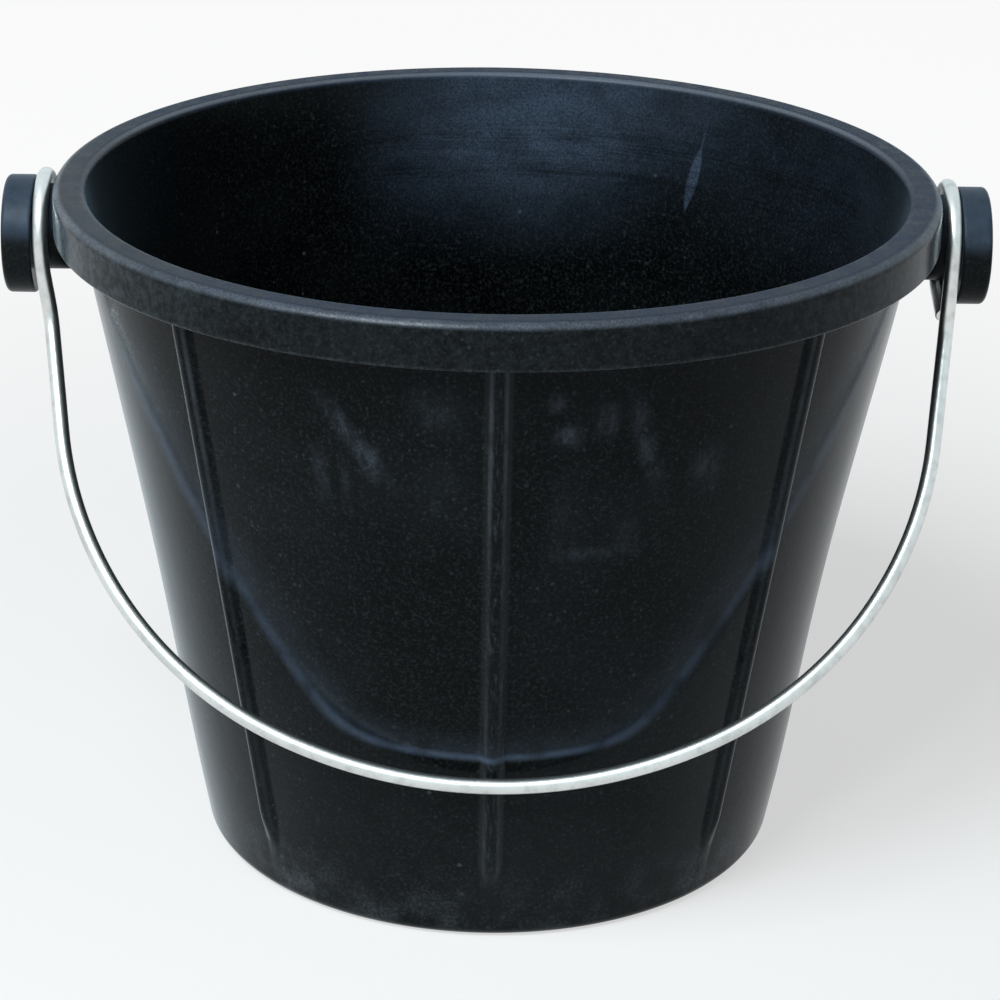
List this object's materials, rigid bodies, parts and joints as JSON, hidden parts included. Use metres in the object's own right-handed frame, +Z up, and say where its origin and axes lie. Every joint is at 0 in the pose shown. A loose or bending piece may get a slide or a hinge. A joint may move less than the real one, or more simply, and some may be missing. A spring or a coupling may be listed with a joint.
{
  "type": "bucket",
  "caption": "Tapered moulded rubber bucket with a heavy rim band, vertical ribs, side lugs and a swinging bent-wire bail, for carrying feed and water.",
  "frame": {"origin": "centre of the base, on the ground", "axes": "+X from the left lug to the right lug, +Z up out of the mouth, the bail rests at the front on -Y"},
  "size_m": [0.3444, 0.31, 0.245],
  "materials": {
    "rubber": "satin black, dusty",
    "wire": "bright zinc plated"
  },
  "bodies": {
    "bucket": {"bucket_body": "rubber", "left_lug": "rubber", "right_lug": "rubber"},
    "bail": {"bail": "wire"}
  },
  "joints": [
    {"name": "bail_swing", "type": "hinge", "parent": "bucket", "child": "bail", "pos_m": [0, 0, 0.2244], "axis": [-1, 0, 0], "range_deg": [0, 283.4]}
  ]
}
